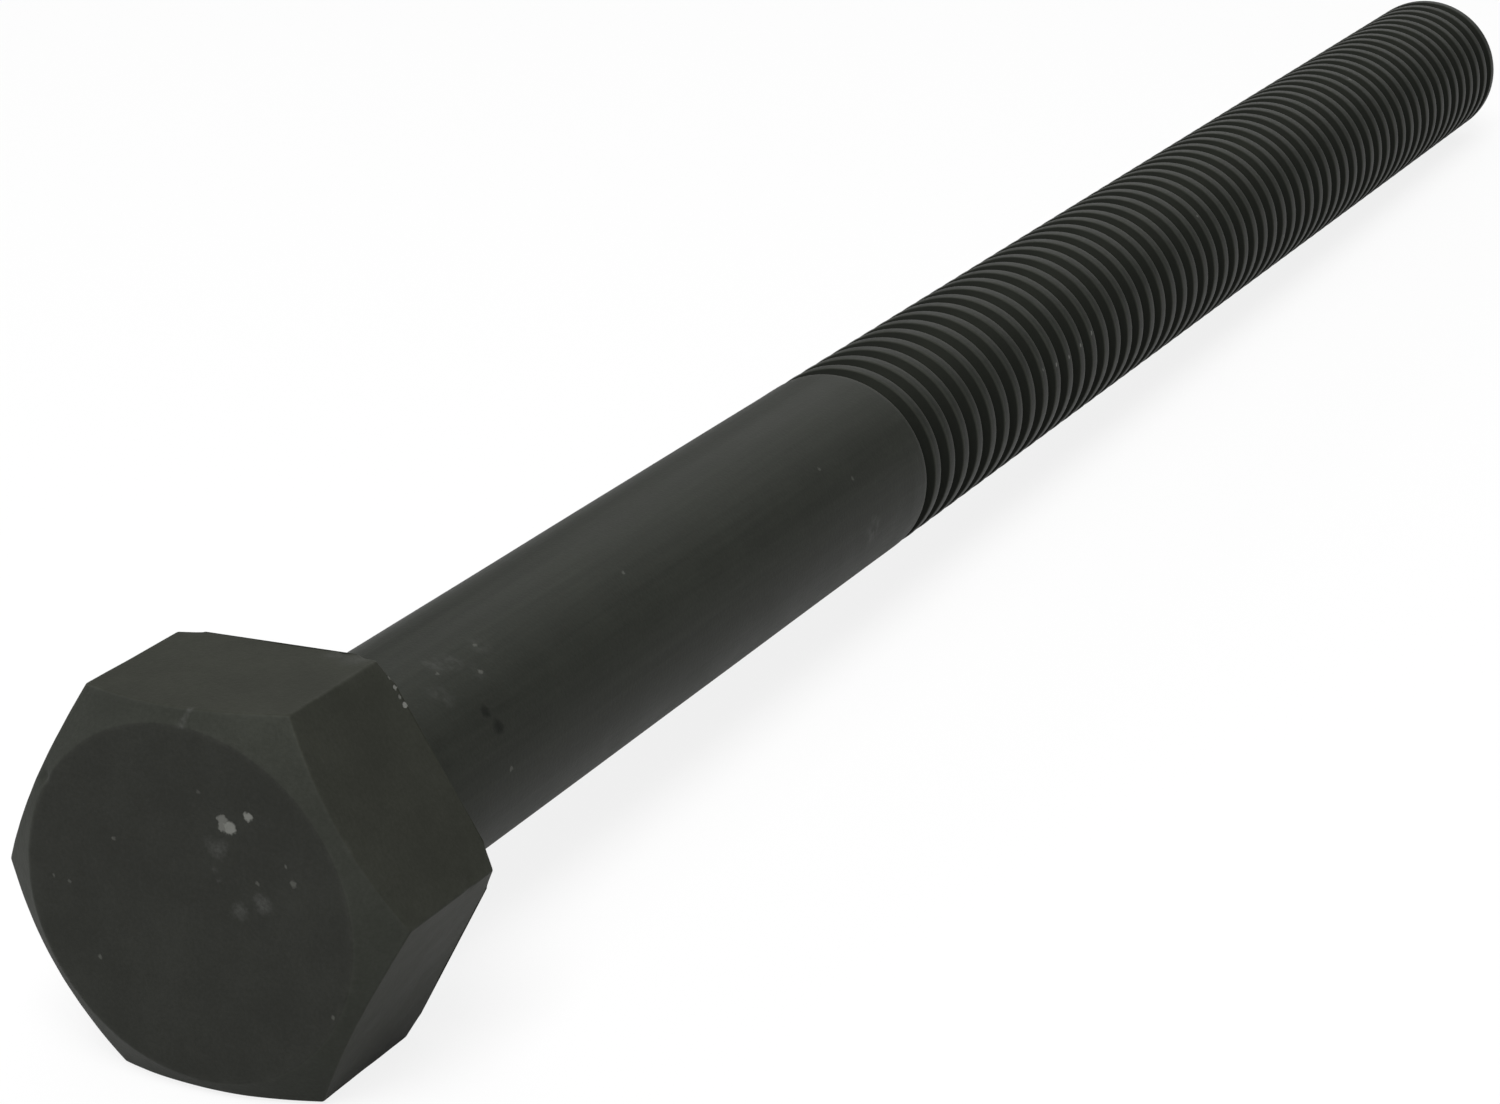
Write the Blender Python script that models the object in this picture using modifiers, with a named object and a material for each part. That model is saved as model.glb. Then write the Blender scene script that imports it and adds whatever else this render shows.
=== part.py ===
"""A hex bolt lying on a flat of its head: chamfered hex head, plain shank and right-hand threaded shank.

The real bolt is one forging. The three nodes are its three worked lengths, and they meet face to face.
In each mesh the bolt's axis is local Z. The frame empty turns that axis to +Y, with the head face at y = 0.
"""

import math

import bmesh
import bpy
from mathutils import Matrix

# Head, in metres and radians
ACROSS_FLATS = 0.0127
HEAD_HEIGHT = 0.00595
# How far the ring on the head face lies inside the flats, and how much the underside trims off each corner
FACE_RING_INSET = 0.0005
FACE_CHAMFER_ANGLE = math.radians(32.0)
CORNER_TRIM = 0.0004
CORNER_TRIM_ANGLE = math.radians(30.0)

# Shank
SHANK_DIAMETER = 0.0079375
PLAIN_LENGTH = 0.03828
UNDER_HEAD_FILLET = 0.0004

# Thread, 18 turns to the inch with 60 degrees between the flanks
THREADED_LENGTH = 0.08237
PITCH = 0.0254 / 18.0
FLANK_HALF_ANGLE = math.radians(30.0)
CREST_SHARE = 0.38
ROOT_SHARE = 0.12
COLLAR_LENGTH = 0.0003
START_ANGLE = math.radians(130.0)
RUN_IN_ANGLE = math.radians(100.0)
POINT_CHAMFER = 0.0006
POINT_CHAMFER_ANGLE = math.radians(45.0)

# Fineness and the room a cutter keeps around what it leaves alone
ROUND_STEPS = 72
THREAD_STEPS = 20
FILLET_STEPS = 5
CUTTER_ROOM = 0.001

SHANK_RADIUS = SHANK_DIAMETER / 2.0
FILLET_RIM_RADIUS = SHANK_RADIUS + UNDER_HEAD_FILLET
FILLET_END = HEAD_HEIGHT + UNDER_HEAD_FILLET
CORNER_RADIUS = ACROSS_FLATS / math.sqrt(3.0)
CREST_WIDTH = PITCH * CREST_SHARE
ROOT_WIDTH = PITCH * ROOT_SHARE
FLANK_WIDTH = (PITCH - CREST_WIDTH - ROOT_WIDTH) / 2.0
THREAD_DEPTH = FLANK_WIDTH / math.tan(FLANK_HALF_ANGLE)
HALF_STEP = math.pi / ROUND_STEPS

BLACKENED_STEEL = (0.045, 0.048, 0.041, 1.0)


def clear_scene():
    for obj in list(bpy.data.objects):
        bpy.data.objects.remove(obj, do_unlink=True)


def new_collection(name):
    collection = bpy.data.collections.new(name)
    bpy.context.scene.collection.children.link(collection)
    return collection


def new_material(name, roughness, metallic):
    material = bpy.data.materials.new(name)
    material.use_nodes = True
    shader = material.node_tree.nodes["Principled BSDF"]
    shader.inputs["Base Color"].default_value = BLACKENED_STEEL
    shader.inputs["Roughness"].default_value = roughness
    shader.inputs["Metallic"].default_value = metallic
    return material


def add_object(name, bm, collection, parent=None, z=0.0):
    mesh = bpy.data.meshes.new(name)
    bm.to_mesh(mesh)
    bm.free()
    obj = bpy.data.objects.new(name, mesh)
    collection.objects.link(obj)
    obj.parent = parent
    obj.location = (0.0, 0.0, z)
    return obj


def profile_mesh(points):
    """An open line of (radius, height) points at +X, from the top of its outer side to the bottom."""
    bm = bmesh.new()
    verts = [bm.verts.new((radius, 0.0, height)) for radius, height in points]
    for first, second in zip(verts, verts[1:]):
        bm.edges.new((first, second))
    return bm


def turn(obj, steps):
    """Turns the profile once about local Z."""
    screw = obj.modifiers.new("turned", "SCREW")
    screw.axis = "Z"
    screw.angle = 2.0 * math.pi
    screw.steps = steps
    screw.render_steps = steps
    screw.use_merge_vertices = True
    screw.merge_threshold = 0.000001


def keep_inside(obj, cutter):
    boolean = obj.modifiers.new("trimmed", "BOOLEAN")
    boolean.operation = "INTERSECT"
    boolean.solver = "EXACT"
    boolean.object = cutter


def hide_cutter(obj):
    obj.hide_render = True
    obj.display_type = "WIRE"


def finish_node(obj, material):
    obj.data.materials.append(material)
    obj.data.shade_smooth()
    obj.data.set_sharp_from_angle(angle=math.radians(25.0))


def head_envelope_profile():
    """The turned shape that chamfers both ends of the hexagon and leaves a fillet on the bearing face.

    Its straight side stays outside the corners.
    """
    outer = CORNER_RADIUS + CUTTER_ROOM
    face_radius = ACROSS_FLATS / 2.0 - FACE_RING_INSET
    bearing_radius = CORNER_RADIUS - CORNER_TRIM
    face_drop = (outer - face_radius) * math.tan(FACE_CHAMFER_ANGLE)
    bearing_rise = (outer - bearing_radius) * math.tan(CORNER_TRIM_ANGLE)
    profile = [(0.0, FILLET_END)]
    for i in range(FILLET_STEPS + 1):
        swing = math.pi / 2.0 * i / FILLET_STEPS
        radius = FILLET_RIM_RADIUS - UNDER_HEAD_FILLET * math.cos(swing)
        profile.append((radius, FILLET_END - UNDER_HEAD_FILLET * math.sin(swing)))
    profile += [
        (bearing_radius, HEAD_HEIGHT),
        (outer, HEAD_HEIGHT - bearing_rise),
        (outer, face_drop),
        (face_radius, 0.0),
        (0.0, 0.0),
    ]
    return profile


def make_head(parts, cutters, frame):
    """A hexagonal bar with corners at +X and -X, longer than the head, trimmed by the turned shape."""
    envelope = add_object("head_envelope", profile_mesh(head_envelope_profile()), cutters, frame)
    # Half a step of turn, so that no edge of the cone lies on a corner of the hexagon
    envelope.rotation_euler.z = HALF_STEP
    turn(envelope, ROUND_STEPS)
    hide_cutter(envelope)

    bm = bmesh.new()
    bar_length = FILLET_END + 2.0 * CUTTER_ROOM
    bmesh.ops.create_cone(
        bm,
        cap_ends=True,
        segments=6,
        radius1=CORNER_RADIUS,
        radius2=CORNER_RADIUS,
        depth=bar_length,
    )
    bm.verts.ensure_lookup_table()
    corner = bm.verts[0].co
    turn_back = Matrix.Rotation(-math.atan2(corner.y, corner.x), 4, "Z")
    lift = Matrix.Translation((0.0, 0.0, FILLET_END / 2.0))
    bmesh.ops.transform(bm, matrix=lift @ turn_back, verts=bm.verts)
    head = add_object("hex_head", bm, parts, frame)
    keep_inside(head, envelope)
    return head


def make_plain_shank(parts, frame):
    """A turned bar, from the end of the head's fillet to the thread."""
    length = PLAIN_LENGTH - UNDER_HEAD_FILLET
    profile = [(0.0, length), (SHANK_RADIUS, length), (SHANK_RADIUS, 0.0), (0.0, 0.0)]
    shank = add_object("plain_shank", profile_mesh(profile), parts, frame, FILLET_END)
    shank.rotation_euler.z = HALF_STEP
    turn(shank, ROUND_STEPS)
    return shank


def groove_profile():
    """One pitch of the thread as (radius, height): down a flank, along the root, up, along the crest."""
    root_radius = SHANK_RADIUS - THREAD_DEPTH
    return [
        (SHANK_RADIUS, 0.0),
        (root_radius, FLANK_WIDTH),
        (root_radius, FLANK_WIDTH + ROOT_WIDTH),
        (SHANK_RADIUS, 2.0 * FLANK_WIDTH + ROOT_WIDTH),
        (SHANK_RADIUS, PITCH),
    ]


def thread_body():
    """The thread surface, swept up the helix and closed below by a collar and above by a cone."""
    bm = bmesh.new()
    turns = math.ceil((THREADED_LENGTH + CUTTER_ROOM) / PITCH) + 1
    profile = groove_profile()
    columns = []
    for step in range(turns * THREAD_STEPS + 1):
        wound = 2.0 * math.pi * step / THREAD_STEPS
        angle = START_ANGLE + wound
        rise = COLLAR_LENGTH + PITCH * step / THREAD_STEPS
        # The groove comes down to its full depth over the first part of its first turn
        depth_share = min(1.0, wound / RUN_IN_ANGLE)
        column = []
        # The last point of a column is the first point of the column one turn later
        for radius, height in profile[:-1]:
            reach = SHANK_RADIUS - (SHANK_RADIUS - radius) * depth_share
            column.append(bm.verts.new((reach * math.cos(angle), reach * math.sin(angle), rise + height)))
        columns.append(column)
    top = []
    for step in range((turns - 1) * THREAD_STEPS, turns * THREAD_STEPS + 1):
        top.append(columns[step][-1])
    for step in range(turns * THREAD_STEPS):
        left, right = columns[step], columns[step + 1]
        for i in range(len(left) - 1):
            bm.faces.new((left[i], right[i], right[i + 1], left[i + 1]))
        if step + THREAD_STEPS + 1 < len(columns):
            above = columns[step + THREAD_STEPS]
            above_right = columns[step + THREAD_STEPS + 1]
            bm.faces.new((left[-1], right[-1], above_right[0], above[0]))

    # The collar, from a flat disc up to the first edge of the groove
    rim = []
    for step in range(THREAD_STEPS):
        corner = columns[step][0].co
        rim.append(bm.verts.new((corner.x, corner.y, 0.0)))
    bm.faces.new(list(reversed(rim)))
    for step in range(THREAD_STEPS - 1):
        bm.faces.new((rim[step], rim[step + 1], columns[step + 1][0], columns[step][0]))
    seam = columns[0] + [columns[THREAD_STEPS][0]]
    bm.faces.new([rim[-1], rim[0]] + seam + [columns[THREAD_STEPS - 1][0]])

    # The far end, which the point's cutter takes away
    apex = bm.verts.new((0.0, 0.0, top[-1].co.z))
    last = columns[-1]
    loop = top + list(reversed(last[:-1]))
    for first, second in zip(loop, loop[1:]):
        bm.faces.new((first, second, apex))
    bm.faces.new((loop[-1], loop[0], apex))
    bmesh.ops.recalc_face_normals(bm, faces=bm.faces)
    return bm


def point_profile():
    """The turned shape that trims the thread to length and chamfers its point."""
    outer = SHANK_RADIUS + CUTTER_ROOM
    point_radius = SHANK_RADIUS - POINT_CHAMFER
    drop = (outer - point_radius) / math.tan(POINT_CHAMFER_ANGLE)
    return [
        (0.0, THREADED_LENGTH),
        (point_radius, THREADED_LENGTH),
        (outer, THREADED_LENGTH - drop),
        (outer, -CUTTER_ROOM),
        (0.0, -CUTTER_ROOM),
    ]


def make_threaded_shank(parts, cutters, frame):
    start = HEAD_HEIGHT + PLAIN_LENGTH
    envelope = add_object("point_envelope", profile_mesh(point_profile()), cutters, frame, start)
    turn(envelope, ROUND_STEPS)
    hide_cutter(envelope)
    thread = add_object("threaded_shank", thread_body(), parts, frame, start)
    keep_inside(thread, envelope)
    return thread


clear_scene()
bolt_parts = new_collection("hex_bolt")
bolt_cutters = new_collection("hex_bolt_cutters")
bolt_frame = bpy.data.objects.new("bolt_frame", None)
bolt_parts.objects.link(bolt_frame)
# Local Z, the axis of every piece, becomes +Y
bolt_frame.rotation_euler.x = -math.pi / 2.0

finish_node(make_head(bolt_parts, bolt_cutters, bolt_frame), new_material("head_black_oxide", 0.55, 0.6))
finish_node(make_plain_shank(bolt_parts, bolt_frame), new_material("shank_black_oxide", 0.5, 0.6))
finish_node(
    make_threaded_shank(bolt_parts, bolt_cutters, bolt_frame), new_material("thread_black_oxide", 0.5, 0.6)
)
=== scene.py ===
"""Looks of the hex bolt: a black oxide bolt lying on a flat of its head, on a white floor.

Sizes are in millimetres until a mesh is made. The bolt's axis is +Y, the head face is at y = 0,
and an angle round the axis is measured from +X towards +Z.
"""

import math

import bpy
import numpy as np
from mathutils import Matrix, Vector


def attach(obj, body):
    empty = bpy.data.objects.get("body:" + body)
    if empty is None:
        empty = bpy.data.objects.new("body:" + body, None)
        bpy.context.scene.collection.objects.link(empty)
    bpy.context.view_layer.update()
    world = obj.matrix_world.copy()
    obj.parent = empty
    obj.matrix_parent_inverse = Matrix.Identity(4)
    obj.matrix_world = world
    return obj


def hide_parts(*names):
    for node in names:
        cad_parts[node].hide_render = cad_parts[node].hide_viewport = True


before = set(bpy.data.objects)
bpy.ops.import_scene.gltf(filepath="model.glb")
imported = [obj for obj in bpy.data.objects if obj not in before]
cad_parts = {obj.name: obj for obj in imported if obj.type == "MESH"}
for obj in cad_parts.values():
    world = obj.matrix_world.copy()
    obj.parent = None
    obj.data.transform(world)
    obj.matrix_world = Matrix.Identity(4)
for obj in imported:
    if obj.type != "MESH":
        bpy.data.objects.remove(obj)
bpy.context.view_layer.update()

MM = 0.001
TINY = 1e-9
FULL_TURN = 2.0 * math.pi

# Head
SIDES = 6
HALF_SIDE = math.pi / SIDES
FLAT_RADIUS = 6.35
CORNER_RADIUS = FLAT_RADIUS / math.cos(HALF_SIDE)
CORNER_ROUNDING = 0.10
CORNER_TRIM = 0.4
HEAD_HEIGHT = 5.95
RING_RADIUS = 5.85
FACE_SLOPE = math.tan(math.radians(32.0))
TRIM_RADIUS = CORNER_RADIUS - CORNER_TRIM
TRIM_SLOPE = math.tan(math.radians(30.0))
FILLET = 0.4

# Shank and thread
SHANK_RADIUS = 3.96875
FILLET_END = HEAD_HEIGHT + FILLET
PLAIN_LENGTH = 38.28
BOLT_LENGTH = 120.65
THREAD_START = HEAD_HEIGHT + PLAIN_LENGTH
BOLT_END = HEAD_HEIGHT + BOLT_LENGTH
INCH = 25.4
THREADS_PER_INCH = 18.0
PITCH = INCH / THREADS_PER_INCH
GROOVE_FLANK = 0.25
GROOVE_ROOT = 0.12
THREAD_DEPTH = GROOVE_FLANK * PITCH / math.tan(math.radians(30.0))
CREST_DROP = 0.02
COLLAR = 0.3
START_ANGLE = math.radians(130.0)
RUN_IN = math.radians(100.0)
POINT_CHAMFER = 0.65

# Lines that are turned or wound: how far each corner is cut back, and the steps on runs and curves
CURVE_SHARE = 0.45
HEAD_CUTS, HEAD_RUNS, HEAD_BENDS = [0.1, 0.1, 0.08, 0.1], [34, 10, 20, 2, 8], [6, 6, 6, 6]
GROOVE_CUTS, GROOVE_RUNS, GROOVE_BENDS = [0.06, 0.07, 0.07, 0.06], [1, 1, 1, 1, 1], [4, 2, 2, 4]
BLANK_CUTS, BLANK_RUNS, BLANK_BENDS = [0.2, 0.15], [1, 1, 1], [6, 6]

# Grids
AXIS_GAP = 0.05
SIDE_STEPS = 120
EVEN_SHARE = 0.35
FILLET_STEPS = 8
SHANK_COLUMNS = 288
SHANK_ROWS = 150
STEPS_PER_TURN = 96
SPARE_TURNS = 3
BLANK_COLUMNS = 192
BLANK_TURN = 0.01
BLANK_MARGIN = 1.0
BLANK_LEAD = 2.0
SHARP_ANGLE = math.radians(32.0)

# Unevenness of the surfaces: depth, wavelength and seed
FORGED_WAVE = (0.012, 5.0, 3)
FORGED_RIPPLE = (0.004, 1.1, 4)
DRAWN_WAVE = (0.006, 3.0, 8)
DRAWN_SQUEEZE = np.array([1.0, 0.25, 1.0])
WAVE_COUNT = 14
WAVE_SPREAD = (0.7, 1.4)
WAVE_GAIN = 2.2

# Wear of the head's edges
EDGE_WEAR = 0.3
EDGE_WEAR_WIDTH = 0.15
EDGE_WEAR_START, EDGE_WEAR_END = 0.9, 5.9
BEND_WEAR = 2.2
RING_DEPTH = 0.25
WEAR_PAST_RING = 0.5
UNWORN_ROWS = 12
CONE_MARGIN = 0.03

# Camera and floor
CAMERA_PLACE = (0.0623846, -0.0820867, 0.0457699)
CAMERA_TURN = (1.2363074, 0.0403896, 0.4667746)
CAMERA_LENS = 88.7
SENSOR_WIDTH = 36.0
CLIP_START, CLIP_END = 0.001, 20.0
FLOOR_SIZE = 6.0
FLOOR_TILT = math.atan2(FLAT_RADIUS - SHANK_RADIUS, BOLT_END - HEAD_HEIGHT)

# Light: each softbox has its place, the point it faces, its size and its power
WHITE = (1.0, 1.0, 1.0, 1.0)
FILL_STRENGTH = 0.10
SOFTBOXES = {
    "overhead_softbox": ((0.0, 0.12, 0.52), (0.0, 0.06, 0.0), 0.5, 1.0),
    "front_softbox": ((0.11, -0.28, 0.47), (0.0, 0.0, 0.0), 0.30, 4.5),
    "back_softbox": ((-0.06, 0.72, 0.46), (0.0, 0.05, 0.0), 0.70, 1.5),
    "side_softbox": ((-0.62, 0.06, 0.26), (0.0, 0.06, 0.0), 0.40, 1.4),
}
FLOOR_WHITE = (0.65, 0.65, 0.65, 1.0)
FLOOR_GLOW = 0.85
FLOOR_SHADED = 0.20
FLOOR_PLAIN = 0.80
FLOOR_MIRRORED_GLOW = 0.36
SKY_MIRRORED_GLOW = 0.3

# Colours of the finish
OXIDE_DARK = (0.0188, 0.0203, 0.0166, 1.0)
OXIDE_LIGHT = (0.0259, 0.0280, 0.0230, 1.0)
OXIDE_WORN = (0.060, 0.061, 0.054, 1.0)
OXIDE_GLOSS = (0.95, 1.0, 0.80, 1.0)
CHIP_GREY = (0.120, 0.122, 0.112, 1.0)
SPECK_GREY = (0.058, 0.059, 0.053, 1.0)
SCUFF_GREY = (0.046, 0.047, 0.044, 1.0)
# Black mixed in for stains and the bar's darker tone, and for painted shade in the thread's grooves
STAIN_AND_SHADE_BLACK = (0.004, 0.0045, 0.004, 1.0)
# Painted light and shade on the head's cuts: the face darker, the cone lighter and the flats a
# little darker, each with a slight hue
FACE_PAINTED_SHADE = (0.931, 0.894, 0.965, 1.0)
CONE_PAINTED_LIGHT = (1.08, 1.064, 1.103, 1.0)
FLAT_PAINTED_SHADE = (0.985, 0.955, 0.935, 1.0)

# Gloss, roughness and bump of the finish
HEAD_GLOSS, BAR_GLOSS = 0.05, 0.08
HEAD_ROUGHNESS, BAR_ROUGHNESS = 0.44, 0.42
BLOTCH_ROUGHNESS = 0.14
GROOVE_ROUGHNESS = 0.2
WORN_POLISH = 0.08
ROLLED_POLISH = 0.05
BUMP_DEPTH = 0.00001
GRAIN_RELIEF = 0.7
TURNED_RELIEF = 0.5
DRAWN_RELIEF = 0.8
HEAD_BLOTCH_RELIEF, BAR_BLOTCH_RELIEF = 1.2, 0.8
CHIP_RELIEF = 2.0

# Noise of the finish: scale, detail and roughness
BLOTCH_NOISE = (420.0, 5.0, 0.62)
GRAIN_NOISE = (7500.0, 3.0, 0.6)
WEAR_NOISE = (1500.0, 4.0, 0.6)
SCUFF_NOISE = (2200.0, 3.0, 0.6)
TURNED_NOISE = (1.0, 2.0, 0.5)
DRAWN_NOISE = (1.0, 3.0, 0.6)
TURNED_STRETCH = (2600.0, 60.0, 2600.0)
DRAWN_STRETCH = (3200.0, 90.0, 3200.0)
WARP_SCALE, WARP_DETAIL = 6000.0, 3.0
WARP_REACH = 0.00011

# Shares of the finish
BLOTCH_SHARE, GRAIN_SHARE, SHADE_SHIFT = 0.8, 0.6, 0.2
SHADE_LOW, SHADE_HIGH = 0.25, 0.85
PATCHY_LOW, PATCHY_HIGH = 0.3, 0.7
SCUFF_LOW, SCUFF_HIGH = 0.35, 0.7
SCUFF_FLOOR, SCUFF_GRAIN = 0.4, 0.6
WORN_SHARE = 0.5
DRAWN_DARK, DRAWN_STREAK = 0.64, 0.5
ROLLED_DARK = 0.22
RIM_WORN = 0.3
# Painted shade: how far the grooves are darkened towards black
GROOVE_PAINTED_SHADE = 0.85

# Softness of the marks: the share of a mark's radius over which it fades
CHIP_SOFTNESS = 0.4
SPECK_SOFTNESS = 0.6
STAIN_SOFTNESS = 0.7
SCUFF_SOFTNESS = 0.9

# Zones of the thread: depths below the cone, the end face and the crest between which each fades
CONE_ZONE = (0.06, 0.02)
END_ZONE = (0.04, 0.01)
GROOVE_ZONE = (0.02, 0.07)
RIM_ZONE = (0.004, 0.012)
ROLLED_TURNS = 1.5

# Sockets of the Mix node when it mixes colours
MIX_FIRST, MIX_SECOND, MIX_RESULT = 6, 7, 2

# Marks on the head: place and size in millimetres, and strength from 0 to 1
HEAD_CHIPS = [
    ((1.81, 0.0, 2.84), 0.27, 1.0),
    ((1.58, 0.0, 3.07), 0.22, 0.65),
    ((1.56, 0.0, 2.84), 0.21, 0.7),
    ((2.52, 0.0, 3.29), 0.19, 1.0),
    ((4.00, 5.85, 5.78), 0.09, 0.5),
    ((4.16, 5.85, 5.49), 0.11, 0.9),
    ((4.33, 5.85, 5.21), 0.08, 0.6),
    ((4.48, 5.85, 4.95), 0.12, 1.0),
    ((5.80, 0.75, 3.55), 0.10, 0.4),
]
HEAD_SCUFFS = [
    ((1.29, 0.0, 2.03), 0.42, 0.8),
    ((1.05, 0.0, 2.22), 0.32, 0.5),
    ((1.52, 0.0, 2.20), 0.30, 0.5),
    ((1.91, 0.0, 0.14), 0.40, 0.8),
    ((2.78, 0.0, 0.49), 0.42, 1.0),
    ((2.62, 0.0, 0.66), 0.30, 0.7),
    ((1.11, 0.0, 1.36), 0.16, 0.4),
    ((1.22, 0.0, 1.05), 0.16, 0.4),
    ((0.37, 0.03, 5.92), 0.18, 0.8),
    ((0.42, 0.12, 6.02), 0.18, 0.8),
    ((0.47, 0.21, 6.12), 0.18, 0.8),
    ((0.55, 0.33, 6.28), 0.18, 0.8),
    ((3.0, 5.5, 6.35), 0.7, 0.5),
    ((2.2, 5.7, 6.35), 0.6, 0.5),
]
HEAD_SPECKS = [
    ((-2.52, 0.0, 1.81), 0.09, 0.8),
    ((-4.92, 0.0, 0.16), 0.08, 0.8),
    ((-4.35, 0.0, 0.08), 0.08, 0.8),
    ((-3.51, 0.0, -2.32), 0.10, 0.9),
    ((3.70, 0.0, 1.88), 0.10, 0.9),
    ((2.62, 0.0, 1.17), 0.10, 0.7),
    ((3.93, 0.0, 1.36), 0.15, 0.9),
    ((4.91, 0.0, -2.82), 0.10, 0.8),
    ((0.80, 0.0, 3.84), 0.09, 0.5),
]

# Dents in the head: place, radius and depth in millimetres
HEAD_DENTS = [
    ((0.42, 0.0, 5.95), 0.12, 0.04),
    ((-4.9, 0.1, 3.4), 0.2, 0.07),
    ((3.2, 5.9, 6.2), 0.22, 0.06),
    ((2.4, 5.95, 6.3), 0.15, 0.04),
    ((7.2, 4.4, 0.1), 0.2, 0.08),
    ((3.7, 3.1, 6.2), 0.18, 0.05),
    ((2.5, 0.0, -1.8), 0.3, 0.03),
    ((-1.4, 0.0, 2.6), 0.35, 0.03),
    ((-3.4, 4.0, -6.2), 0.25, 0.08),
]


def on_shank(along, degrees):
    """A place on the shank's surface, from its distance along the axis and its angle round it."""
    angle = math.radians(degrees)
    return SHANK_RADIUS * math.cos(angle), along, SHANK_RADIUS * math.sin(angle)


def on_crest(turn, degrees):
    """A place on the middle of the thread's crest, from a count of turns and an angle.

    The middle of a crest is half a pitch past the middle of the groove.
    """
    wound = (START_ANGLE + math.radians(degrees)) / FULL_TURN
    share = turn + 0.5 + GROOVE_FLANK + GROOVE_ROOT / 2 - wound
    return on_shank(THREAD_START + COLLAR + PITCH * share, degrees)


# Marks on the shank and the thread: place and size in millimetres, and strength from 0 to 1
SHANK_SPECKS = [
    (on_shank(14.32, 63.5), 0.12, 0.8),
    (on_shank(13.38, 50.5), 0.13, 0.9),
    (on_shank(11.78, 61.2), 0.11, 0.7),
    (on_shank(12.58, 2.4), 0.11, 0.8),
    (on_shank(23.3, 52.6), 0.10, 0.8),
    (on_shank(37.71, 40.6), 0.12, 0.6),
    (on_shank(39.42, 25.8), 0.12, 0.6),
]
SHANK_SCUFFS = [
    (on_shank(10.98, 50.1), 0.7, 0.5),
    (on_shank(12.10, 67.2), 0.6, 0.6),
    (on_shank(12.79, 62.6), 0.6, 0.6),
    (on_shank(14.50, 62.1), 0.6, 0.4),
    (on_shank(13.23, 52.2), 0.5, 0.4),
    (on_shank(40.42, -10.5), 0.9, 1.0),
]
SHANK_STAINS = [
    (on_shank(12.27, 33.5), 0.30, 0.8),
    (on_shank(12.5, 24.1), 0.36, 0.8),
]
CREST_SPECKS = [
    (on_crest(9, 14.0), 0.10, 0.7),
    (on_crest(10, 11.5), 0.11, 0.9),
    (on_crest(11, 10.7), 0.11, 0.9),
    (on_crest(12, 12.4), 0.10, 0.8),
    (on_crest(13, 15.6), 0.11, 0.9),
    (on_crest(24, 40.0), 0.09, 0.6),
    (on_crest(31, -12.0), 0.10, 0.6),
    (on_crest(43, 62.0), 0.10, 0.6),
]


def unevenness(points, deep, wavelength, seed):
    """A smooth random hollow from about 0 to twice its depth.

    It is 1 plus the mean of sine waves with random directions and phases, times the depth.
    """
    rng = np.random.default_rng(seed)
    directions = rng.normal(size=(WAVE_COUNT, 3))
    directions *= FULL_TURN / wavelength / np.linalg.norm(directions, axis=1, keepdims=True)
    directions *= rng.uniform(*WAVE_SPREAD, size=(WAVE_COUNT, 1))
    phases = rng.uniform(0.0, FULL_TURN, size=WAVE_COUNT)
    waves = np.sin(points @ directions.T + phases).mean(axis=-1) * WAVE_GAIN
    return deep * (1.0 + waves)


def dented(points, dents):
    """The depth of a set of dents: each is a bell-shaped hollow with a centre, radius and depth."""
    depth = np.zeros(points.shape[:-1])
    for centre, radius, deep in dents:
        away = np.linalg.norm(points - np.array(centre), axis=-1) / radius
        depth += deep * np.exp(-away * away)
    return depth


def shares(steps):
    """Even shares from just above 0 to 1, one for each step, shaped to multiply rows of points."""
    return np.linspace(0.0, 1.0, steps + 1)[1:, None, None]


def cut_back(corner, towards, cut):
    """The point at a distance from a corner towards another, at most CURVE_SHARE of the way."""
    way = towards - corner
    length = np.maximum(np.linalg.norm(way, axis=-1, keepdims=True), TINY)
    return corner + way / length * np.minimum(cut, CURVE_SHARE * length)


def rounded_line(corners, cuts, runs, bends):
    """Rows of a line: straight runs between corners, each inner corner made a quadratic curve.

    corners is a list of (radius, y) arrays, one value for each angle, and cuts gives how far
    before and after each inner corner its curve begins. runs is the number of steps on each
    run, and bends is the number on each curve.
    """
    corners = [np.stack(np.broadcast_arrays(*corner), axis=-1) for corner in corners]
    rows = [corners[0][None]]
    last = corners[0]
    neighbours = zip(corners, corners[1:], corners[2:])
    for (before, corner, after), cut, run, bend in zip(neighbours, cuts, runs, bends):
        start, end = cut_back(corner, before, cut), cut_back(corner, after, cut)
        rows.append(last + (start - last) * shares(run))
        share = shares(bend)
        rows.append((1 - share) ** 2 * start + 2 * share * (1 - share) * corner + share**2 * end)
        last = end
    rows.append(last + (corners[-1] - last) * shares(runs[-1]))
    return np.concatenate(rows)


def turned(radius, along, angles):
    """Points at a distance from the axis and along it, turned to an angle round it."""
    points = np.broadcast_arrays(radius * np.cos(angles), along, radius * np.sin(angles))
    return np.stack(points, axis=-1)


def ring_faces(rows, columns):
    """Quads of a grid that closes round its columns.

    Its angle rises with the column, and its rows run along +Y.
    """
    row, column = np.meshgrid(np.arange(rows - 1), np.arange(columns), indexing="ij")
    right = (column + 1) % columns
    quads = [row * columns + column, (row + 1) * columns + column,
             (row + 1) * columns + right, row * columns + right]
    return np.stack(quads, axis=-1).reshape(-1, 4)


def cap_faces(ring, centre):
    """Triangles from each pair of neighbours on a ring of point numbers to one centre point."""
    return np.stack([ring, np.roll(ring, -1), np.full(len(ring), centre)], axis=-1)


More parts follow.
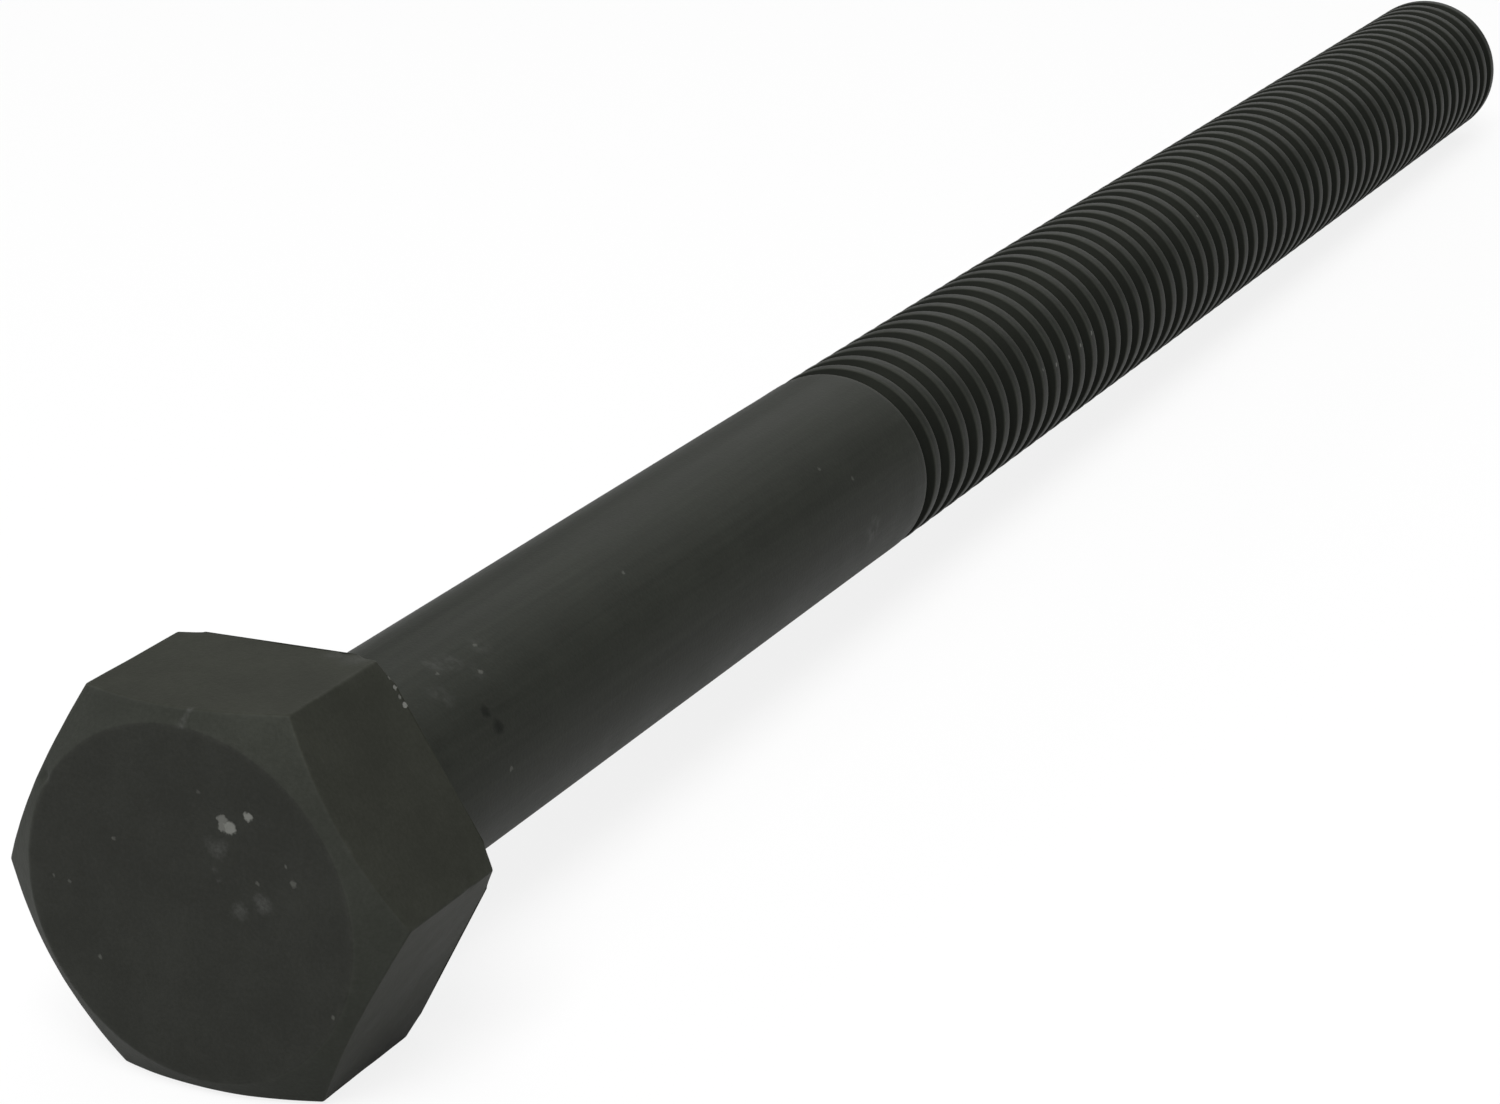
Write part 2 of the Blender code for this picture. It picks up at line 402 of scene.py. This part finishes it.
def make_mesh(name, points, faces):
    """A mesh from an array of points, in millimetres, and blocks of faces.

    All faces of a block have the same number of corners.
    """
    mesh = bpy.data.meshes.new(name)
    sizes = np.concatenate([np.full(len(block), block.shape[1]) for block in faces])
    corners = np.concatenate([block.ravel() for block in faces])
    mesh.vertices.add(len(points))
    mesh.vertices.foreach_set("co", (points * MM).astype(np.float32).ravel())
    mesh.loops.add(len(corners))
    mesh.loops.foreach_set("vertex_index", corners.astype(np.int32))
    mesh.polygons.add(len(sizes))
    mesh.polygons.foreach_set("loop_start", (np.cumsum(sizes) - sizes).astype(np.int32))
    mesh.update(calc_edges=True)
    mesh.validate()
    piece = bpy.data.objects.new(name, mesh)
    bpy.context.scene.collection.objects.link(piece)
    return piece


def make_closed(name, points, start, end):
    """A closed mesh of rings along +Y, its end rings filled to the axis at start and at end."""
    rows, columns = points.shape[:2]
    ring = np.arange(columns)
    count = rows * columns
    centres = [[0.0, start, 0.0], [0.0, end, 0.0]]
    faces = [ring_faces(rows, columns), cap_faces(ring, count),
             cap_faces(count - columns + ring[::-1], count + 1)]
    return make_mesh(name, np.concatenate([points.reshape(-1, 3), centres]), faces)


def dress(piece, node, material):
    """Gives a piece its finish, hangs it on the root body and hides the CAD node that it stands
    for.
    """
    piece.data.shade_smooth()
    piece.data.set_sharp_from_angle(angle=SHARP_ANGLE)
    piece.data.materials.clear()
    piece.data.materials.append(material)
    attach(piece, "root")
    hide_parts(node)


def hexagon_radius(turn):
    """Distance from the axis to a hexagon with rounded edges, by the angle from a flat's middle.

    The rounding is a circle that touches both flats, with its centre on the line to the corner.
    """
    side = np.abs(turn)
    flat = FLAT_RADIUS / np.cos(side)
    centre = CORNER_RADIUS - CORNER_ROUNDING / math.cos(HALF_SIDE)
    off = HALF_SIDE - side
    bulge = np.sqrt(np.maximum(CORNER_ROUNDING**2 - (centre * np.sin(off)) ** 2, 0.0))
    reach = centre * np.cos(off) + bulge
    start = math.atan2(centre * math.sin(HALF_SIDE), FLAT_RADIUS)
    return np.where(side > start, reach, flat)


def head_line(side):
    """Rows of (radius, y) from the head's axis to the end of its fillet, for each angle.

    They run along the face, the ring edge, the cone, the hexagon's flat, the trimmed rear edge,
    the bearing face and a quarter circle. side is the hexagon's distance from the axis. It changes
    with the angle, so the cone meets each flat in a curve.
    """
    zero = np.zeros_like(side)
    rear = np.minimum(side, TRIM_RADIUS)
    corners = [
        (zero + AXIS_GAP, zero),
        (zero + RING_RADIUS, zero),
        (side, (side - RING_RADIUS) * FACE_SLOPE),
        (side, HEAD_HEIGHT - (side - rear) * TRIM_SLOPE),
        (rear, zero + HEAD_HEIGHT),
        (zero + SHANK_RADIUS + FILLET, zero + HEAD_HEIGHT),
    ]
    line = rounded_line(corners, HEAD_CUTS, HEAD_RUNS, HEAD_BENDS)
    swing = np.linspace(0.0, math.pi / 2, FILLET_STEPS)[1:, None]
    fillet = np.broadcast_arrays(SHANK_RADIUS + FILLET - FILLET * np.sin(swing) + zero,
                                 FILLET_END - FILLET * np.cos(swing) + zero)
    return np.concatenate([line, np.stack(fillet, axis=-1)])


def line_normals(line):
    """Outward direction in the (radius, y) plane at each row.

    It is the difference of the row's neighbours, turned by a right angle.
    """
    run = np.gradient(line, axis=0)
    out = np.stack([run[..., 1], -run[..., 0]], axis=-1)
    return out / np.maximum(np.linalg.norm(out, axis=-1, keepdims=True), TINY)


def head_wear(turn, depth, normals):
    """Wear from 0 to 1: the larger of how fast the line bends and a bell across each upright edge.

    It is weaker past the ring, and there is none on the fillet and the bearing face beside it.
    """
    edge = np.exp(-((HALF_SIDE - np.abs(turn)) * CORNER_RADIUS / EDGE_WEAR_WIDTH) ** 2)
    upright = (depth > EDGE_WEAR_START) & (depth < EDGE_WEAR_END)
    edge = np.where(upright, EDGE_WEAR * edge, 0.0)
    bend = np.linalg.norm(np.gradient(normals, axis=0), axis=-1) * BEND_WEAR
    wear = np.clip(np.maximum(bend, edge), 0.0, 1.0)
    wear *= np.where(depth > RING_DEPTH, WEAR_PAST_RING, 1.0)
    wear[-UNWORN_ROWS:] = 0.0
    return wear


def head_painted_light(side, radius, depth):
    """Painted light and shade of each point: one colour inside the ring that paints shade, one on
    the cone that paints light and one for the rest.
    """
    front = depth < HEAD_HEIGHT / 2
    on_face = (front & (radius <= RING_RADIUS))[..., None]
    on_cone = (front & (radius < side - CONE_MARGIN))[..., None]
    return np.where(on_face, FACE_PAINTED_SHADE, np.where(on_cone, CONE_PAINTED_LIGHT, FLAT_PAINTED_SHADE))


def make_head(material):
    """The head: its line turned round the axis, with the hexagon's distance at each angle.

    The angles crowd towards the corners: within a side they are a mix of even steps and a sine.
    Unevenness and dents push each point inward, against the normal of its line.
    """
    share = np.linspace(-1.0, 1.0, SIDE_STEPS, endpoint=False)
    crowded = EVEN_SHARE * share + (1.0 - EVEN_SHARE) * np.sin(math.pi / 2 * share)
    turn = np.tile(HALF_SIDE * crowded, SIDES)
    middles = np.arange(SIDES) * 2.0 * HALF_SIDE + HALF_SIDE
    angles = turn + np.repeat(middles, SIDE_STEPS)
    side = hexagon_radius(turn)
    line = head_line(side)
    radius, depth = line[..., 0], line[..., 1]
    normals = line_normals(line)
    points = turned(radius, depth, angles)
    inward = unevenness(points, *FORGED_WAVE) + unevenness(points, *FORGED_RIPPLE)
    inward *= np.clip((FILLET_END - depth) / FILLET, 0.0, 1.0)
    inward += dented(points, HEAD_DENTS)
    pushed = line - normals * inward[..., None]
    points = turned(pushed[..., 0], pushed[..., 1], angles)
    piece = make_closed("forged_head", points, points[0, :, 1].mean(), FILLET_END)
    wear = np.concatenate([head_wear(turn, depth, normals).ravel(), [0.0, 0.0]])
    values = piece.data.attributes.new("wear", "FLOAT", "POINT")
    values.data.foreach_set("value", wear.astype(np.float32))
    # Painted light and shade of each cut, kept on the points
    painted_light_and_shade = head_painted_light(side, radius, depth).reshape(-1, 4)
    painted_light_and_shade = np.concatenate([painted_light_and_shade, [FACE_PAINTED_SHADE, FLAT_PAINTED_SHADE]])
    colours = piece.data.attributes.new("painted_light_and_shade", "FLOAT_COLOR", "POINT")
    colours.data.foreach_set("color", painted_light_and_shade.astype(np.float32).ravel())
    dress(piece, "hex_head", material)


def make_shank(material):
    """The plain shank: a circle carried along the axis, with the slight waviness of drawn bar.

    The waves are longer along the axis, and fade out over the last millimetre at each end.
    """
    along = np.linspace(FILLET_END, THREAD_START, SHANK_ROWS)[:, None]
    angles = np.arange(SHANK_COLUMNS) * FULL_TURN / SHANK_COLUMNS
    points = turned(SHANK_RADIUS, along, angles)
    ends = np.minimum(along - FILLET_END, THREAD_START - along)
    inward = unevenness(points * DRAWN_SQUEEZE, *DRAWN_WAVE) * np.clip(ends, 0.0, 1.0)
    points = turned(SHANK_RADIUS - inward, along, angles)
    piece = make_closed("drawn_shank", points, FILLET_END, THREAD_START)
    dress(piece, "plain_shank", material)


def groove_line():
    """One pitch of the thread, with rounded crest edges and root.

    Each point is a share of the pitch and a share of the depth.
    """
    crest = 1.0 - 2 * GROOVE_FLANK - GROOVE_ROOT
    corners = [
        (-crest / 2, 0.0),
        (0.0, CREST_DROP),
        (GROOVE_FLANK, 1.0),
        (GROOVE_FLANK + GROOVE_ROOT, 1.0),
        (2 * GROOVE_FLANK + GROOVE_ROOT, CREST_DROP),
        (1.0 - crest / 2, 0.0),
    ]
    corners = [(np.array([along]), np.array([deep])) for along, deep in corners]
    return rounded_line(corners, GROOVE_CUTS, GROOVE_RUNS, GROOVE_BENDS)[:-1, 0]


def make_point_blank():
    """The blank that the point is cut to: a bar wider than the thread, with a cone to the end."""
    angles = np.arange(BLANK_COLUMNS) * FULL_TURN / BLANK_COLUMNS + BLANK_TURN
    end_radius = SHANK_RADIUS - POINT_CHAMFER
    wide = SHANK_RADIUS + BLANK_MARGIN
    start = THREAD_START - BLANK_LEAD
    corners = [(wide, start), (wide, BOLT_END - (wide - end_radius)), (end_radius, BOLT_END),
               (AXIS_GAP, BOLT_END)]
    corners = [(np.full(BLANK_COLUMNS, radius), np.full(BLANK_COLUMNS, along))
               for radius, along in corners]
    line = rounded_line(corners, BLANK_CUTS, BLANK_RUNS, BLANK_BENDS)
    return make_closed("point_blank", turned(line[..., 0], line[..., 1], angles), start, BOLT_END)


def make_thread_rod():
    """The groove line carried up a right-hand helix, as a closed rod that is longer than the bolt.

    A column is one step round the helix and a row is one point of the groove line. The groove
    line's end is the start of the next turn's line. The groove fades in by a smooth step over its
    first part turn, and fades out past the bolt's end, so a plain ring closes both ends.
    """
    profile = groove_line()
    rows = len(profile)
    turns = math.ceil((BOLT_END - THREAD_START) / PITCH) + SPARE_TURNS
    last = turns * STEPS_PER_TURN
    step = np.arange(last + 1)
    wound = FULL_TURN * step / STEPS_PER_TURN
    fade = np.clip(np.minimum(wound, wound[-1] - wound) / RUN_IN, 0.0, 1.0)
    fade = fade * fade * (3.0 - 2.0 * fade)
    along = THREAD_START + COLLAR + PITCH * (step[:, None] / STEPS_PER_TURN + profile[:, 0])
    radius = SHANK_RADIUS - THREAD_DEPTH * profile[:, 1] * fade[:, None]
    angles = -(START_ANGLE + wound)
    points = turned(radius, along, angles[:, None]).reshape(-1, 3)

    number = np.arange((last + 1) * rows).reshape(last + 1, rows)
    inner = [number[:-1, :-1], number[1:, :-1], number[1:, 1:], number[:-1, 1:]]
    inner = np.stack(inner, axis=-1).reshape(-1, 4)
    upper = number[STEPS_PER_TURN:, 0]
    lower = number[:len(upper), -1]
    between = np.stack([lower[:-1], lower[1:], upper[1:], upper[:-1]], axis=-1)

    first_ring = len(points) + np.arange(STEPS_PER_TURN)
    last_ring = first_ring + STEPS_PER_TURN
    far = along.max() + COLLAR
    rings = [turned(SHANK_RADIUS, y, angles[:STEPS_PER_TURN]) for y in (THREAD_START, far)]
    centres = [[0.0, THREAD_START, 0.0], [0.0, far, 0.0]]
    points = np.concatenate([points, *rings, centres])
    first_cap = cap_faces(first_ring[::-1], len(points) - 2)
    last_cap = cap_faces(last_ring, len(points) - 1)

    # The last face of each band also takes in the line where the helix begins or ends
    first_edge = number[:STEPS_PER_TURN + 1, 0]
    last_edge = number[last - STEPS_PER_TURN:, -1]
    first_band = [first_ring[:-1], first_ring[1:], first_edge[1:-1], first_edge[:-2]]
    last_band = [last_edge[:-2], last_edge[1:-1], last_ring[1:], last_ring[:-1]]
    first_seam = [first_ring[[-1, 0]], number[0], first_edge[[-1, -2]]]
    last_seam = [last_edge[[-2, -1]], number[-1, -2::-1], last_edge[:1], last_ring[[0, -1]]]
    faces = [inner, between, np.stack(first_band, axis=-1), np.stack(last_band, axis=-1),
             np.concatenate(first_seam)[None], np.concatenate(last_seam)[None],
             first_cap, last_cap]
    return make_mesh("rolled_thread", points, faces)


def make_thread(material):
    """The threaded length: the part of the helical rod that lies inside the turned blank."""
    rod = make_thread_rod()
    blank = make_point_blank()
    cut = rod.modifiers.new("point", "BOOLEAN")
    cut.operation = "INTERSECT"
    cut.solver = "MANIFOLD"
    cut.object = blank
    cut_rod = rod.evaluated_get(bpy.context.evaluated_depsgraph_get())
    cut_mesh = bpy.data.meshes.new_from_object(cut_rod)
    rod.modifiers.clear()
    rod.data = cut_mesh
    bpy.data.objects.remove(blank)
    dress(rod, "threaded_shank", material)


class Wire:
    """A socket of a node tree. An expression on sockets that carry values adds its Math nodes."""

    def __init__(self, tree, socket=None):
        self.tree = tree
        self.socket = socket

    def node(self, kind, settings=None, inputs=None, output=0):
        """Adds a node: first its settings, then its inputs' values or links. Gives one output."""
        made = self.tree.nodes.new(kind)
        for name, value in (settings or {}).items():
            setattr(made, name, value)
        for key, value in (inputs or {}).items():
            if isinstance(value, Wire):
                self.tree.links.new(value.socket, made.inputs[key])
            else:
                made.inputs[key].default_value = value
        return Wire(self.tree, made.outputs[output] if made.outputs else None)

    def maths(self, operation, *values):
        """A Math node on any mix of sockets and numbers."""
        return self.node("ShaderNodeMath", {"operation": operation}, dict(enumerate(values)))

    def __add__(self, other):
        return self.maths("ADD", self, other)

    __radd__ = __add__

    def __sub__(self, other):
        return self.maths("SUBTRACT", self, other)

    def __rsub__(self, other):
        return self.maths("SUBTRACT", other, self)

    def __mul__(self, other):
        return self.maths("MULTIPLY", self, other)

    __rmul__ = __mul__

    def most(self, other):
        """The larger of two values."""
        return self.maths("MAXIMUM", self, other)

    def stepped(self, low, high):
        """0 at low, 1 at high and a smooth step between."""
        return self.node("ShaderNodeMapRange", {"interpolation_type": "SMOOTHSTEP"},
                         {"Value": self, "From Min": low, "From Max": high})

    def vector(self, operation, *values, output="Vector"):
        """A Vector Math node on any mix of sockets and vectors."""
        return self.node("ShaderNodeVectorMath", {"operation": operation},
                         dict(enumerate(values)), output)

    def noise(self, scale, detail, roughness):
        """Noise at these coordinates, about 0.5 on average."""
        return self.node("ShaderNodeTexNoise", {}, {"Vector": self, "Scale": scale,
                                                    "Detail": detail, "Roughness": roughness})

    def stretched(self, scale):
        """These coordinates, stretched along the axes."""
        return self.node("ShaderNodeMapping", {}, {"Vector": self, "Scale": scale})

    def tinted(self, share, colour, blend="MIX"):
        """This colour blended with another by a share."""
        return self.node("ShaderNodeMix", {"data_type": "RGBA", "blend_type": blend},
                         {"Factor": share, MIX_FIRST: self, MIX_SECOND: colour}, MIX_RESULT)

    def marks(self, places, softness):
        """The strongest of a set of round marks at these coordinates.

        A mark has its full strength near its middle and none at its rim. softness is the share
        of the radius over which it fades.
        """
        strongest = None
        for place, size, strength in places:
            centre = tuple(value * MM for value in place)
            away = self.vector("DISTANCE", self, centre, output="Value")
            share = away.stepped(size * MM, size * (1.0 - softness) * MM) * strength
            strongest = share if strongest is None else strongest.most(share)
        return strongest


def empty_tree(owner):
    """The emptied node tree of a material or a world, as a wire to add nodes with."""
    owner.use_nodes = True
    owner.node_tree.nodes.clear()
    return Wire(owner.node_tree)


def oxide_start(name):
    """A new material, its Object coordinates and a warped copy of them, blotches, grain and colour.

    The coordinates are warped by a small random push. The colour runs from the dark oxide to the
    light one, with a sum of blotches and grain.
    """
    material = bpy.data.materials.new(name)
    wire = empty_tree(material)
    place = wire.node("ShaderNodeTexCoord", {}, {}, "Object")
    blotch = place.noise(*BLOTCH_NOISE)
    grain = place.noise(*GRAIN_NOISE)
    push = place.node("ShaderNodeTexNoise", {}, {"Vector": place, "Scale": WARP_SCALE,
                                                 "Detail": WARP_DETAIL}, "Color")
    push = push.vector("MULTIPLY_ADD", push, (2.0 * WARP_REACH,) * 3, (-WARP_REACH,) * 3)
    warped = place.vector("ADD", place, push)
    shade = blotch * BLOTCH_SHARE + grain * GRAIN_SHARE - SHADE_SHIFT
    base = wire.node("ShaderNodeMix", {"data_type": "RGBA"},
                     {"Factor": shade.stepped(SHADE_LOW, SHADE_HIGH), MIX_FIRST: OXIDE_DARK,
                      MIX_SECOND: OXIDE_LIGHT}, MIX_RESULT)
    return material, place, warped, blotch, grain, base


def oxide_end(base, roughness, height, level):
    """The shader: a dark oxide coat with weak gloss, and the height of its grain as a bump."""
    bump = height.node("ShaderNodeBump", {}, {"Strength": 1.0, "Distance": BUMP_DEPTH,
                                              "Height": height})
    shader = base.node("ShaderNodeBsdfPrincipled", {}, {
        "Base Color": base, "Roughness": roughness, "Normal": bump,
        "Specular IOR Level": level, "Specular Tint": OXIDE_GLOSS})
    shader.node("ShaderNodeOutputMaterial", {}, {"Surface": shader})


def head_finish():
    """Black oxide on the forged head: painted light and shade for each cut, worn edges, chips and
    scuffs.
    """
    material, place, warped, blotch, grain, base = oxide_start("head_oxide")
    # The painted light and shade of each cut
    painted_light_and_shade = place.node("ShaderNodeAttribute", {"attribute_name": "painted_light_and_shade"}, {}, "Color")
    worn = place.node("ShaderNodeAttribute", {"attribute_name": "wear"}, {}, "Fac")
    worn = worn * place.noise(*WEAR_NOISE).stepped(PATCHY_LOW, PATCHY_HIGH)
    chips = warped.marks(HEAD_CHIPS, CHIP_SOFTNESS)
    patchy = SCUFF_FLOOR + SCUFF_GRAIN * grain.stepped(PATCHY_LOW, PATCHY_HIGH)
    scuffs = warped.marks(HEAD_SCUFFS, SCUFF_SOFTNESS) * patchy
    specks = warped.marks(HEAD_SPECKS, SPECK_SOFTNESS)
    # The oxide is multiplied by the painted light and shade of each cut, then the worn edges are
    # mixed in
    base = base.tinted(1.0, painted_light_and_shade, "MULTIPLY").tinted(worn * WORN_SHARE, OXIDE_WORN)
    base = base.tinted(scuffs, SCUFF_GREY).tinted(specks, SPECK_GREY).tinted(chips, CHIP_GREY)
    lines = place.stretched(TURNED_STRETCH).noise(*TURNED_NOISE)
    height = grain * GRAIN_RELIEF + lines * TURNED_RELIEF
    height = height + blotch * HEAD_BLOTCH_RELIEF - chips * CHIP_RELIEF
    roughness = HEAD_ROUGHNESS + blotch * BLOTCH_ROUGHNESS - worn * WORN_POLISH
    oxide_end(base, roughness, height, HEAD_GLOSS)
    return material


def drawn_bar(place, blotch, grain, base):
    """The relief and colour of a drawn bar: fine streaks along the axis, darker than the head."""
    drawn = place.stretched(DRAWN_STRETCH).noise(*DRAWN_NOISE)
    height = grain * GRAIN_RELIEF + drawn * DRAWN_RELIEF + blotch * BAR_BLOTCH_RELIEF
    return height, base.tinted(DRAWN_DARK - drawn * DRAWN_STREAK, STAIN_AND_SHADE_BLACK)


def shank_finish():
    """Black oxide on drawn bar: faint lines along the axis, scuffs, specks and two stains."""
    material, place, warped, blotch, grain, base = oxide_start("shank_oxide")
    height, base = drawn_bar(place, blotch, grain, base)
    patchy = place.noise(*SCUFF_NOISE).stepped(SCUFF_LOW, SCUFF_HIGH)
    scuffs = warped.marks(SHANK_SCUFFS, SCUFF_SOFTNESS) * patchy
    base = base.tinted(warped.marks(SHANK_STAINS, STAIN_SOFTNESS), STAIN_AND_SHADE_BLACK)
    base = base.tinted(scuffs, SCUFF_GREY)
    base = base.tinted(warped.marks(SHANK_SPECKS, SPECK_SOFTNESS), SPECK_GREY)
    oxide_end(base, BAR_ROUGHNESS + blotch * BLOTCH_ROUGHNESS, height, BAR_GLOSS)
    return material


def below(value, top, zone):
    """A mask that fades between two depths below a top, given in millimetres."""
    start, end = zone
    return value.stepped((top - start) * MM, (top - end) * MM)


def thread_finish():
    """Black oxide on the thread: the shank's finish on the crests, and painted shade that makes the
    grooves near black.

    A groove is where the distance from the axis is less than the crest's. The point's cone, where
    that distance and y have one sum, and the end face keep the finish of the crests. The crests
    darken over the first turns.
    """
    material, place, warped, blotch, grain, base = oxide_start("thread_oxide")
    height, base = drawn_bar(place, blotch, grain, base)
    x, y, z = (place.node("ShaderNodeSeparateXYZ", {}, {"Vector": place}, axis) for axis in "XYZ")
    across = x * x + z * z
    radius = across.maths("SQRT", across)
    point = below(radius + y, BOLT_END + SHANK_RADIUS - POINT_CHAMFER, CONE_ZONE)
    point = point.most(below(y, BOLT_END, END_ZONE))
    groove = below(radius, SHANK_RADIUS, GROOVE_ZONE) * (1.0 - point)
    rim = below(radius, SHANK_RADIUS, RIM_ZONE) * (1.0 - groove) * (1.0 - point)
    rolled = y.stepped(THREAD_START * MM, (THREAD_START + ROLLED_TURNS * PITCH) * MM)
    base = base.tinted(rolled * ROLLED_DARK, STAIN_AND_SHADE_BLACK)
    base = base.tinted(rim * blotch * RIM_WORN, OXIDE_WORN)
    base = base.tinted(warped.marks(CREST_SPECKS, SPECK_SOFTNESS), CHIP_GREY)
    # Painted shade: the grooves darkened to near black
    base = base.tinted(groove * GROOVE_PAINTED_SHADE, STAIN_AND_SHADE_BLACK)
    roughness = BAR_ROUGHNESS - rolled * ROLLED_POLISH + blotch * BLOTCH_ROUGHNESS
    oxide_end(base, roughness + groove * GROOVE_ROUGHNESS, height, BAR_GLOSS)
    return material


def ray_kinds(wire):
    """Two masks: 1 for a ray from the camera, and 1 for one from a reflection or a clear body."""
    camera, glossy, clear = [wire.node("ShaderNodeLightPath", {}, {}, name)
                             for name in ("Is Camera Ray", "Is Glossy Ray", "Is Transmission Ray")]
    return camera, glossy.most(clear)


def make_floor():
    """A wide pale sheet under the bolt, tilted so that the head's edge and the point rest on it.

    The camera sees it as a mix of its shaded colour, which keeps the bolt's shadow, and a white
    glow. Far from the bolt only the glow is left, so no horizon shows.
    """
    edge = FLOOR_SIZE / 2
    across, along = np.meshgrid([-edge, edge], [-edge, edge], indexing="ij")
    rise = -FLAT_RADIUS * MM + math.tan(FLOOR_TILT) * (along - HEAD_HEIGHT * MM)
    corners = np.stack([across, along, rise], axis=-1).reshape(-1, 3) / MM
    floor = make_mesh("pale_floor", corners, [np.array([[0, 2, 3, 1]])])
    material = bpy.data.materials.new("pale_sheet")
    wire = empty_tree(material)
    soft = wire.node("ShaderNodeBsdfDiffuse", {}, {"Color": FLOOR_WHITE})
    glow = wire.node("ShaderNodeEmission", {}, {"Color": WHITE, "Strength": 1.0})
    camera, mirrored = ray_kinds(wire)
    place = wire.node("ShaderNodeTexCoord", {}, {}, "Object")
    away = place.vector("LENGTH", place, output="Value")
    glowing = FLOOR_GLOW + (1.0 - FLOOR_GLOW) * away.stepped(FLOOR_SHADED, FLOOR_PLAIN)
    share = (camera * glowing).most(mirrored * FLOOR_MIRRORED_GLOW)
    mixed = wire.node("ShaderNodeMixShader", {}, {0: share, 1: soft, 2: glow})
    wire.node("ShaderNodeOutputMaterial", {}, {"Surface": mixed})
    floor.data.materials.append(material)


def make_light():
    """White surroundings and four softboxes: overhead, in front, behind and at the side.

    The surroundings are white to the camera, dimmer in reflections and weak as light.
    """
    world = bpy.data.worlds.new("white_room")
    wire = empty_tree(world)
    camera, mirrored = ray_kinds(wire)
    strength = camera.most(mirrored * SKY_MIRRORED_GLOW).most(FILL_STRENGTH)
    sky = wire.node("ShaderNodeBackground", {}, {"Color": WHITE, "Strength": strength})
    wire.node("ShaderNodeOutputWorld", {}, {"Surface": sky})
    bpy.context.scene.world = world
    for name, (place, target, size, power) in SOFTBOXES.items():
        lamp = bpy.data.lights.new(name, "AREA")
        lamp.shape = "SQUARE"
        lamp.size = size
        lamp.energy = power
        softbox = bpy.data.objects.new(name, lamp)
        softbox.location = place
        aim = Vector(target) - Vector(place)
        softbox.rotation_euler = aim.to_track_quat("-Z", "Y").to_euler()
        bpy.context.scene.collection.objects.link(softbox)


def make_camera():
    """A centred camera at the photograph's place, with nothing out of focus."""
    camera = bpy.data.objects.new("camera", bpy.data.cameras.new("camera"))
    camera.data.sensor_fit = "HORIZONTAL"
    camera.data.sensor_width = SENSOR_WIDTH
    camera.data.lens = CAMERA_LENS
    camera.data.clip_start = CLIP_START
    camera.data.clip_end = CLIP_END
    camera.location = CAMERA_PLACE
    camera.rotation_euler = CAMERA_TURN
    bpy.context.scene.collection.objects.link(camera)
    bpy.context.scene.camera = camera


make_head(head_finish())
make_shank(shank_finish())
make_thread(thread_finish())
make_floor()
make_light()
make_camera()
bpy.context.scene.view_settings.view_transform = "Standard"
